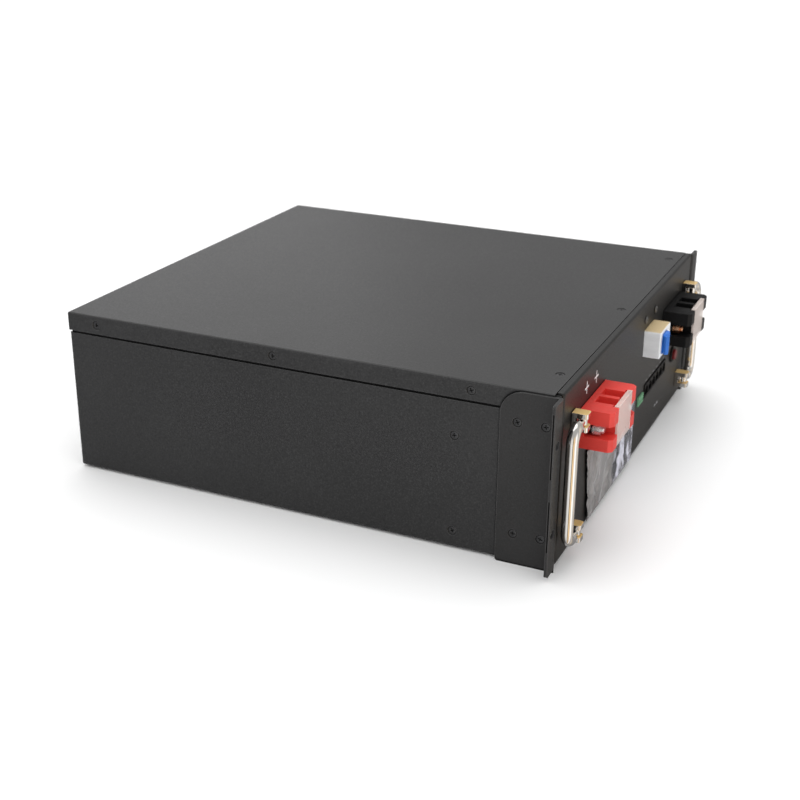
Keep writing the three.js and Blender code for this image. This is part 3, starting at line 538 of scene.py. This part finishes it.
def screw_set(node, axis, side, strips, length):
    """A row of screws along one axis, each turned a little further than the last."""
    direction = Vector((0, 0, 0))
    direction[axis] = side
    one = countersunk_screw(length)
    shapes = list(strips)
    for index, centre in enumerate(head_centres(node, axis, side)):
        seat = centre - direction * (SUNK + CAD_HEAD_PROUD) * MM
        spin = Matrix.Rotation(0.4 + 1.3 * index, 4, "Z")
        copy = one.copy()
        copy.transform(Matrix.Translation(seat) @ toward(direction) @ spin)
        shapes.append(copy)
    place(node + "_fine", joined(shapes), BLACK_SCREW, ENCLOSURE, (node,), "black_screw", smooth_deg=35)


def strip_behind(node, axis, side, thickness):
    """The tapped strip that a row of screws is driven into, on the far side of the sheet."""
    low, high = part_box(node)
    inner = low[axis] if side > 0 else high[axis]
    outer = inner + side * thickness * MM
    first, second = [i for i in range(3) if i != axis]
    name = "xyz"[axis]
    outline = rectangle(low[first], high[first], low[second], high[second])
    return prism(outline, min(inner, outer), max(inner, outer), name, 0.4)


def screws():
    for word, side in (("left", -1), ("right", 1)):
        lid, wall, ear = (f"{kind}_screws_{word}" for kind in ("lid", "wall", "ear"))
        screw_set(lid, 0, side, [strip_behind(lid, 0, side, 3)], 6)
        screw_set(wall, 0, side, [strip_behind(wall, 0, side, 3)], 6)
        screw_set(ear, 0, side, [ear_nut_plate(ear, side)], 9.5)
    screw_set("lid_screws_front", 2, 1, [strip_behind("lid_screws_front", 2, 1, 4)], 6)
    breaker_screws()


def ear_nut_plate(node, side):
    """The tapped plate behind an ear, cut away around the handle fixings."""
    low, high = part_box(node)
    inner = low.x if side > 0 else high.x
    arm, waist = 14 * MM, 10 * MM
    outline = [
        (low.y, low.z), (high.y, low.z), (high.y, high.z), (low.y, high.z),
        (low.y, high.z - arm), (high.y - waist, high.z - arm),
        (high.y - waist, low.z + arm), (low.y, low.z + arm),
    ]
    outer = inner + side * 3 * MM
    return prism(outline, min(inner, outer), max(inner, outer), "x", 0.4)


def breaker_screws():
    """Two zinc pan-head screws into the strap that holds the breaker."""
    node = "breaker_screws"
    low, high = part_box(node)
    shapes = [prism(rectangle(low.x, high.x, low.z, high.z), high.y - 3 * MM, high.y, "y", 0.4)]
    panel_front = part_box("front_panel")[0].y
    profile = [(0, -6), (1.8, -6), (1.8, 0.3), (3.4, 0.3), (3.5, 0.7), (3.1, 1.5), (2.2, 1.9), (0, 2.0)]
    for centre in head_centres(node, 1, -1):
        seat = (centre.x, panel_front, centre.z)
        head = lathe(profile, seat, FRONT, 40)
        for turn in (0.3, 0.3 + math.pi / 2):
            bm = bmesh.new()
            bmesh.ops.create_cube(bm, size=1)
            bmesh.ops.scale(bm, vec=(3.6 * MM, 1.6 * MM, 0.8 * MM), verts=bm.verts)
            spin = Matrix.Translation(Vector(seat) + FRONT * 2 * MM) @ Matrix.Rotation(turn, 4, "Y")
            bmesh.ops.transform(bm, matrix=spin, verts=bm.verts)
            head = carved(head, to_mesh(bm))
        shapes.append(head)
    place(node + "_fine", joined(shapes), DULL_ZINC, ENCLOSURE, (node,), "zinc", smooth_deg=35)


# ---------------------------------------------------------------- sheet metal
def sheet_metal():
    coats = {"chassis_tray": COAT, "top_lid": COAT, "ear_left": EAR_COAT, "ear_right": EAR_COAT}
    for node, coat in coats.items():
        refined(node, coat, 0.3, 2, slot="coat", above_deg=20)
    refined("front_panel", PANEL_COAT, 0.0, slot="panel_coat")


# ---------------------------------------------------------------- handles
BAR_PLUMPNESS = 1.15  # the bar is a little thicker than its pivots' box


def handle_path(low, high, side, bar_r, eye_r):
    """Centre line and radius, from the upper pivot round the bar to the lower pivot."""
    pivot = (high.x if side < 0 else low.x) + side * eye_r
    bar = (low.x if side < 0 else high.x) - side * bar_r
    top, bottom = high.z - bar_r, low.z + bar_r
    y = (low.y + high.y) / 2
    bend = 11 * MM
    neck_r, neck_end, full = 3.0 * MM, 9 * MM, 12.5 * MM
    arm = [(pivot, neck_r), (pivot + side * neck_end, neck_r), (pivot + side * full, bar_r)]
    stations = [(x, top, radius) for x, radius in arm]
    steps = 14
    for corner_z, start, sign in ((top, 90, 1), (bottom, 0, -1)):
        for i in range(steps + 1):
            turn = math.radians(start - 90 * i / steps)
            x = bar - side * bend + side * bend * math.cos(turn)
            z = corner_z - sign * bend + bend * math.sin(turn)
            stations.append((x, z, bar_r))
    stations += [(x, bottom, radius) for x, radius in reversed(arm)]
    return [(Vector((x, y, z)), radius) for x, z, radius in stations]


def swept(stations, sides=32):
    """A closed round bar along a flat path in a plane of constant Y."""
    bm = bmesh.new()
    rings = []
    outward = Vector((0, 1, 0))
    for i, (centre, radius) in enumerate(stations):
        before = stations[max(i - 1, 0)][0]
        after = stations[min(i + 1, len(stations) - 1)][0]
        ahead = (after - before).normalized()
        across = ahead.cross(outward).normalized()
        ring = []
        for k in range(sides):
            turn = 2 * math.pi * k / sides
            spoke = math.cos(turn) * across + math.sin(turn) * outward
            ring.append(bm.verts.new(centre + radius * spoke))
        rings.append(ring)
    for lower, upper in zip(rings, rings[1:]):
        for k in range(sides):
            n = (k + 1) % sides
            bm.faces.new((lower[k], lower[n], upper[n], upper[k]))
    bm.faces.new(rings[0])
    bm.faces.new(rings[-1])
    bmesh.ops.recalc_face_normals(bm, faces=bm.faces)
    return to_mesh(bm)


def handle(word, side):
    node = "handle_" + word
    low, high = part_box(node)
    bar_r, eye_r = (high.y - low.y) / 2, 4 * MM
    stations = handle_path(low, high, side, bar_r, eye_r)
    bow = swept([
        (centre, radius * (BAR_PLUMPNESS if radius == bar_r else 1)) for centre, radius in stations
    ])
    half, bore = 3.0, 2.1
    for end in (stations[0][0], stations[-1][0]):
        eye = [(0, -half), (3.6, -half), (4.0, -half + 0.4), (4.0, half - 0.4), (3.6, half), (0, half)]
        bow = carved(bow, lathe(eye, end, (0, 0, 1)), "UNION")
        bow = carved(bow, lathe([(0, -9), (bore, -9), (bore, 9), (0, 9)], end, (0, 0, 1), 32))
    place(node + "_fine", bow, CHROME, word + "_handle", (node,), "chrome", smooth_deg=50)
    for level in ("upper", "lower"):
        refined(f"handle_base_{word}_{level}", CHROME_PAINTED_WARM_TOP, 0.9, 4, slot="chrome")


# ---------------------------------------------------------------- terminals
STUD_OFFSET = 28.5 * MM  # of each stud from the block's middle
STUD_R = 3.0  # this and the next ones in millimetres
WASHER_FROM_TIP = 9.4
WASHER_T = 1.4
NUT_HEIGHT = 5.2
# where the black sleeve that paints the shank's shade sits behind the washer
SHANK_SHADE_FROM_WASHER = 5.2


def hexagon_nut(centre, across, height):
    """A chamfered nut standing forward, with the middle of its back face at the centre."""
    radius = across / math.sqrt(3) * MM
    turns = [math.radians(60 * i) for i in range(6)]
    corners = [(centre.x + radius * math.cos(t), centre.z + radius * math.sin(t)) for t in turns]
    return prism(corners, centre.y - height * MM, centre.y, "y", 0.45)


def studs(word, centre_x, material, slot):
    """Bus bar and two threaded studs, each with its washer, nut and a dark sleeve on the shank, a black piece
    that paints the shade there.
    """
    node = word + "_studs"
    low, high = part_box(node)
    middle_z = (low.z + high.z) / 2
    bar_t = 3 * MM
    shapes = [prism(rectangle(low.x, high.x, low.z, high.z), high.y - bar_t, high.y, "y", 0.8, 3)]
    washer = [(3.1, 0), (4.9, 0), (4.9, 1.1), (4.6, 1.3), (3.1, 1.3)]
    sleeve = [(3.15, 0), (4.3, 0), (4.3, 4.6), (4.0, 5.0), (3.15, 5.0)]
    shank_shade_sleeves = []
    for side in (-1, 1):
        back = Vector((centre_x + side * STUD_OFFSET, high.y - bar_t, middle_z))
        length = (back.y - low.y) / MM
        height = length - 12
        profile = [(0, -1), (STUD_R, -1), (STUD_R, height)]
        while height < length - 0.8:
            profile += [(2.65, height + 0.3), (STUD_R, height + 0.6)]
            height += 0.6
        profile += [(2.4, length), (0, length)]
        shapes.append(lathe(profile, back, FRONT, 36))
        seat = Vector((back.x, low.y + WASHER_FROM_TIP * MM, middle_z))
        shapes.append(lathe(washer, seat, FRONT))
        shapes.append(hexagon_nut(seat + FRONT * WASHER_T * MM, 8.8, NUT_HEIGHT))
        shank_shade_sleeves.append(lathe(sleeve, seat - FRONT * SHANK_SHADE_FROM_WASHER * MM, FRONT))
    place(node + "_fine", joined(shapes), material, ENCLOSURE, (node,), slot, smooth_deg=35)
    # painted shade: black sleeves put where the shanks lie in shadow
    place(word + "_stud_sleeves", joined(shank_shade_sleeves), BLACK, ENCLOSURE, slot="black_plastic")


def terminals():
    for word, plastic, slot, bolt, bolt_slot in (
        ("positive", RED, "red_plastic", ZINC, "zinc"),
        ("negative", BLACK, "black_plastic", COPPER, "copper"),
    ):
        refined(word + "_block", plastic, 0.55, 3, slot=slot)
        refined(word + "_cover", COVER, 0.35, 3, body=word + "_flap", slot="clear_cover")
        low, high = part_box(word + "_block")
        studs(word, (low.x + high.x) / 2, bolt, bolt_slot)


# ---------------------------------------------------------------- controls and sockets
SOCKET_COUNT = 6


def power_button():
    """A red push cap, slightly dished, in a stepped black bezel."""
    low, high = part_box("power_bezel")
    centre = Vector(((low.x + high.x) / 2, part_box("front_panel")[0].y, (low.z + high.z) / 2))
    bezel = [
        (0, -23), (7.0, -23), (7.0, 0.3), (8.5, 0.3), (8.5, 1.0), (8.1, 1.7), (6.9, 2.1),
        (6.1, 2.1), (5.85, 1.7), (5.8, -9.4), (0, -9.4),
    ]
    cap = [(0, -6), (5.5, -6), (5.5, 3.7), (5.2, 4.3), (4.6, 4.65), (3.4, 4.7), (0, 4.3)]
    for node, profile, material, body, slot in (
        ("power_bezel", bezel, BLACK, ENCLOSURE, "black_plastic"),
        ("power_button", cap, BUTTON_RED, "power_cap", "red_plastic"),
    ):
        turned = lathe(profile, centre, FRONT, 64)
        place(node + "_fine", turned, material, body, (node,), slot, smooth_deg=35)


def socket_pins():
    """Eight sprung gold contacts in every data socket."""
    low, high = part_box("port_block")
    pitch = (high.x - low.x) / SOCKET_COUNT
    spacing = 1.02 * MM
    wire = 0.22 * MM
    back, front = low.y + 13 * MM, low.y + 3.5 * MM
    foot, tip = low.z + 2.6 * MM, low.z + 5.2 * MM
    outline = [(back, foot), (back, foot + 2 * wire), (front, tip + wire), (front, tip - wire)]
    pins = []
    for i in range(SOCKET_COUNT):
        middle = low.x + (i + 0.5) * pitch
        for k in range(8):
            x = middle + (k - 3.5) * spacing
            pins.append(prism(outline, x - wire, x + wire, "x"))
    place("port_contacts", joined(pins), GOLD_PLATE, ENCLOSURE, slot="copper")


def controls():
    refined("breaker_body", GREY, 0.5, 3, slot="grey_plastic")
    refined("breaker_toggle", BLUE, 0.5, 3, body="toggle", slot="blue_plastic")
    power_button()
    refined("port_block", BLACK, 0.25, 2, slot="black_plastic")
    socket_pins()
    refined("contact_socket", GREEN, 0.25, 2, slot="green_plastic")
    refined("display_window", SCREEN, 0.4, 3, slot="screen")


# ---------------------------------------------------------------- film
FILM_COLUMNS, FILM_ROWS = 96, 44
FILM_STEPS = 24  # of the cloth simulation
FILM_LEAN = 9 * MM  # of the left edge from top to bottom
FILM_SHORT = 6 * MM  # of the CAD's right edge
FILM_REST = 0.4 * MM  # of the flat sheet in front of the CAD film's back
FILM_LIFT = 1.6 * MM  # most that a buckle stands up


def flat_film(low, high):
    """The film before it buckles, its left edge cut at a slant."""
    far = high.x - FILM_SHORT
    bm = bmesh.new()
    grid = []
    for j in range(FILM_ROWS + 1):
        v = j / FILM_ROWS
        edge = low.x + FILM_LEAN * (1 - v) ** 0.8 + 1.2 * MM * math.sin(5 * v)
        line = []
        for i in range(FILM_COLUMNS + 1):
            x = edge + (far - edge) * (i / FILM_COLUMNS)
            z = low.z + (high.z - low.z) * v
            ripple = noise.noise((x * 90, z * 40, 3.0)) * 0.25 * MM
            line.append(bm.verts.new((x, high.y - FILM_REST + ripple, z)))
        grid.append(line)
    for j in range(FILM_ROWS):
        for i in range(FILM_COLUMNS):
            bm.faces.new((grid[j][i], grid[j][i + 1], grid[j + 1][i + 1], grid[j + 1][i]))
    return to_mesh(bm, "display_film_sheet")


def film():
    """A thin film stuck on loosely: it is grown a little by cloth simulation, so that it buckles."""
    node = "display_film"
    low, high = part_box(node)
    back = high.y
    mesh = flat_film(low, high)
    mesh = buckled(mesh)
    for vert in mesh.vertices:
        lift = min(abs(vert.co.y - (back - FILM_REST)), FILM_LIFT)
        vert.co.y = back - 0.15 * MM - lift
    mesh.update()
    material = protective_film(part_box("display_window")[0].x + 2.5 * MM)
    piece = place(node + "_sheet", mesh, material, ENCLOSURE, (node,), "film", smooth_deg=180)
    skin = piece.modifiers.new("skin", "SOLIDIFY")
    skin.thickness = 0.12 * MM
    skin.offset = 0


def buckled(mesh):
    """The sheet after it has grown by a few percent between the spots where it sticks."""
    sheet = bpy.data.objects.new("film_sim", mesh)
    bpy.context.scene.collection.objects.link(sheet)
    stuck = sheet.vertex_groups.new(name="stuck")
    for index, vert in enumerate(mesh.vertices):
        row, column = divmod(index, FILM_COLUMNS + 1)
        border = row in (0, FILM_ROWS) or column == FILM_COLUMNS
        patch = noise.noise((vert.co.x * 70, vert.co.z * 55, 9.0)) > 0.28
        stuck.add([index], 1.0 if border or patch else 0.0, "REPLACE")
    cloth = sheet.modifiers.new("cloth", "CLOTH")
    settings = cloth.settings
    settings.quality = 6
    settings.mass = 0.02
    settings.tension_stiffness = 30
    settings.compression_stiffness = 30
    settings.shear_stiffness = 12
    settings.bending_stiffness = 0.02
    settings.shrink_min = -0.035
    settings.vertex_group_mass = "stuck"
    settings.effector_weights.gravity = 0
    cloth.point_cache.frame_start = 1
    cloth.point_cache.frame_end = FILM_STEPS
    scene = bpy.context.scene
    for step in range(1, FILM_STEPS + 1):
        scene.frame_set(step)
    graph = bpy.context.evaluated_depsgraph_get()
    result = bpy.data.meshes.new_from_object(sheet.evaluated_get(graph))
    bpy.data.objects.remove(sheet)
    scene.frame_set(1)
    return result


# ---------------------------------------------------------------- printing
def printed(outline):
    """A drawing of (x, z) points as a film of ink on the front panel."""
    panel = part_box("front_panel")[0].y
    return prism(outline, panel - 0.06 * MM, panel, "y")


def polarity_marks():
    """Two plain crosses above the red terminal."""
    low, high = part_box("positive_block")
    middle, z = (low.x + high.x) / 2, high.z + 13 * MM
    arm, stroke = 5.6 * MM, 0.75 * MM
    crosses = []
    for x in (middle - 20 * MM, middle + 7.5 * MM):
        crosses.append(printed([
            (x - arm, z - stroke), (x - stroke, z - stroke), (x - stroke, z - arm), (x + stroke, z - arm),
            (x + stroke, z - stroke), (x + arm, z - stroke), (x + arm, z + stroke), (x + stroke, z + stroke),
            (x + stroke, z + arm), (x - stroke, z + arm), (x - stroke, z + stroke), (x - arm, z + stroke),
        ]))
    place("polarity_marks", joined(crosses), PRINT, ENCLOSURE)


def panel_bars():
    """Plain bars above the sockets and low on the panel."""
    low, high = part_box("port_block")
    pitch = (high.x - low.x) / SOCKET_COUNT
    bars = []
    for i in range(SOCKET_COUNT):
        x = low.x + (i + 0.5) * pitch
        bars.append(printed(rectangle(x - 3 * MM, x + 3 * MM, high.z + 2.6 * MM, high.z + 3.6 * MM)))
    for x in (100 * MM, 108 * MM):
        bars.append(printed(rectangle(x, x + 6 * MM, 23 * MM, 25.4 * MM)))
    place("panel_bars", joined(bars), FAINT_PRINT, ENCLOSURE)


# ---------------------------------------------------------------- inside
CELL_COUNT = 16


def internals():
    for number in range(1, CELL_COUNT + 1):
        refined(f"cell_{number:02d}", CELL, 0.8, 2, slot="cell_can", above_deg=50)
    for node in ("link_carrier_front", "link_carrier_rear"):
        refined(node, CARRIER, 0.3, 2, slot="carrier_plastic")
    for node in ("row_link_bar", "positive_lead", "negative_lead", "output_lead"):
        refined(node, COPPER, 0.4, 2, slot="copper")
    refined("bms_board", BOARD, 0.3, 2, slot="board")
    for node in ("cell_partition", "bms_heat_sink"):
        refined(node, ALLOY, 0.3, 2, slot="alloy")
    refined("rear_spacer", BLACK, 0.4, 2, slot="black_plastic")


# ---------------------------------------------------------------- studio
# What polished metal mirrors, by compass direction in turns from -X: brightness and tint.
SURROUNDINGS = (
    (0.00, (0.80, 0.80, 0.80)),
    (0.05, (0.80, 0.77, 0.72)),
    (0.08, (0.03, 0.03, 0.03)),
    (0.11, (0.95, 0.66, 0.34)),
    (0.17, (0.62, 0.50, 0.38)),
    (0.20, (1.30, 1.28, 1.25)),
    (0.26, (0.95, 0.93, 0.90)),
    (0.30, (0.34, 0.34, 0.36)),
    (0.34, (0.80, 0.72, 0.60)),
    (0.40, (0.40, 0.37, 0.33)),
    (0.46, (0.36, 0.36, 0.37)),
    (0.50, (0.50, 0.50, 0.50)),
    (0.60, (0.70, 0.70, 0.71)),
    (0.66, (0.60, 0.60, 0.62)),
    (0.75, (0.50, 0.50, 0.52)),
    (0.92, (0.15, 0.15, 0.16)),
    (1.00, (0.80, 0.80, 0.80)),
)


def compass_colour(tree, direction):
    """The surroundings' colour for a direction vector, and how far up the vector points."""
    split = tree.nodes.new("ShaderNodeSeparateXYZ")
    tree.links.new(direction, split.inputs[0])
    angle = tree.nodes.new("ShaderNodeMath")
    angle.operation = "ARCTAN2"
    tree.links.new(split.outputs["Y"], angle.inputs[0])
    tree.links.new(split.outputs["X"], angle.inputs[1])
    turns = tree.nodes.new("ShaderNodeMapRange")
    tree.links.new(angle.outputs[0], turns.inputs["Value"])
    turns.inputs["From Min"].default_value = -math.pi
    turns.inputs["From Max"].default_value = math.pi
    ramp = tree.nodes.new("ShaderNodeValToRGB")
    stops = ramp.color_ramp.elements
    while len(stops) < len(SURROUNDINGS):
        stops.new(0.5)
    for stop, (position, colour) in zip(stops, SURROUNDINGS):
        stop.position = position
        stop.color = (*colour, 1.0)
    tree.links.new(turns.outputs["Result"], ramp.inputs["Fac"])
    return ramp.outputs["Color"], split.outputs["Z"]


def fade(tree, value, low, high):
    """Zero to one between two values, eased at both ends."""
    made = tree.nodes.new("ShaderNodeMapRange")
    made.interpolation_type = "SMOOTHSTEP"
    tree.links.new(value, made.inputs["Value"])
    made.inputs["From Min"].default_value = low
    made.inputs["From Max"].default_value = high
    return made.outputs["Result"]


def floor():
    """A plain pale floor; bright metal mirrors it with some tone, as it would a real room."""
    bm = bmesh.new()
    bmesh.ops.create_grid(bm, x_segments=24, y_segments=24, size=25)
    bmesh.ops.translate(bm, verts=bm.verts, vec=(0, 0, CAD_BOX[0].z))
    mesh = to_mesh(bm, "floor")
    piece = bpy.data.objects.new("floor", mesh)
    bpy.context.scene.collection.objects.link(piece)
    finish = Finish("floor", 0.8, specular=0.15)
    tree = finish.tree
    plain = finish.mix(finish.noise(600, 2), (0.93, 0.93, 0.93), (0.95, 0.95, 0.95))
    geometry = tree.nodes.new("ShaderNodeNewGeometry")
    flip = tree.nodes.new("ShaderNodeVectorMath")
    flip.operation = "SCALE"
    tree.links.new(geometry.outputs["Incoming"], flip.inputs[0])
    flip.inputs["Scale"].default_value = -1.0
    mirrored, _height = compass_colour(tree, flip.outputs["Vector"])
    glossy = tree.nodes.new("ShaderNodeLightPath").outputs["Is Glossy Ray"]
    dimmed = mix_colour(tree, 0.15, mirrored, (0.0, 0.0, 0.0))
    finish.colour(mix_colour(tree, glossy, plain, dimmed))
    mesh.materials.append(finish.material)


def world():
    """White surroundings, brighter overhead; mirrored rays see the toned ones low down."""
    made = bpy.data.worlds.new("studio")
    made.use_nodes = True
    tree = made.node_tree
    background = tree.nodes["Background"]
    direction = tree.nodes.new("ShaderNodeTexCoord").outputs["Generated"]
    mirrored, height = compass_colour(tree, direction)
    overhead = fade(tree, height, 0.25, 0.7)
    plain = mix_colour(tree, overhead, (0.86, 0.86, 0.86), (1.25, 1.25, 1.25))
    toned = mix_colour(tree, overhead, mirrored, (0.40, 0.395, 0.385))
    path = tree.nodes.new("ShaderNodeLightPath")
    lit = mix_colour(tree, path.outputs["Is Glossy Ray"], plain, toned)
    seen = mix_colour(tree, path.outputs["Is Camera Ray"], lit, (1.0, 1.0, 1.0))
    tree.links.new(seen, background.inputs["Color"])
    bpy.context.scene.world = made


def area_light(name, place_at, aim, size, power):
    """A soft rectangular lamp that the camera doesn't see."""
    data = bpy.data.lights.new(name, "AREA")
    data.shape = "RECTANGLE"
    data.size, data.size_y = size
    data.energy = power
    lamp = bpy.data.objects.new(name, data)
    lamp.location = place_at
    lamp.rotation_euler = (Vector(aim) - Vector(place_at)).to_track_quat("-Z", "Y").to_euler()
    lamp.visible_camera = False
    bpy.context.scene.collection.objects.link(lamp)


def camera():
    """Beside the left front corner, a little above the lid, looking across the panel."""
    azimuth, elevation, roll = (math.radians(v) for v in (-65.74, 22.41, 0.43))
    back = Vector((
        math.sin(azimuth) * math.cos(elevation),
        -math.cos(azimuth) * math.cos(elevation),
        math.sin(elevation),
    ))
    right = Vector((math.cos(azimuth), math.sin(azimuth), 0))
    up = back.cross(right)
    rolled_right = math.cos(roll) * right + math.sin(roll) * up
    rolled_up = -math.sin(roll) * right + math.cos(roll) * up
    data = bpy.data.cameras.new("camera")
    data.sensor_width = 36.0
    data.lens = 59.8
    data.shift_y = -0.0034
    data.clip_start = 0.05
    data.clip_end = 80
    data.dof.use_dof = True
    data.dof.focus_distance = 1.06
    data.dof.aperture_fstop = 13
    eye = bpy.data.objects.new("camera", data)
    turn = Matrix((rolled_right, rolled_up, back)).transposed().to_4x4()
    stand = Vector((-1147.0, -514.7, 547.5)) * MM
    eye.matrix_world = Matrix.Translation(stand) @ turn
    bpy.context.scene.collection.objects.link(eye)
    bpy.context.scene.camera = eye


def studio():
    floor()
    world()
    area_light("top_softbox", (0.3, 0.3, 2.4), (0, 0, 0.1), (2.4, 2.0), 14)
    area_light("rear_softbox", (2.2, 1.75, 1.25), (0, 0.05, 0.15), (1.3, 1.0), 3.0)
    camera()
    view = bpy.context.scene.view_settings
    view.view_transform = "Standard"
    view.look = "None"


sheet_metal()
screws()
handle("left", -1)
handle("right", 1)
terminals()
controls()
film()
polarity_marks()
panel_bars()
internals()
studio()
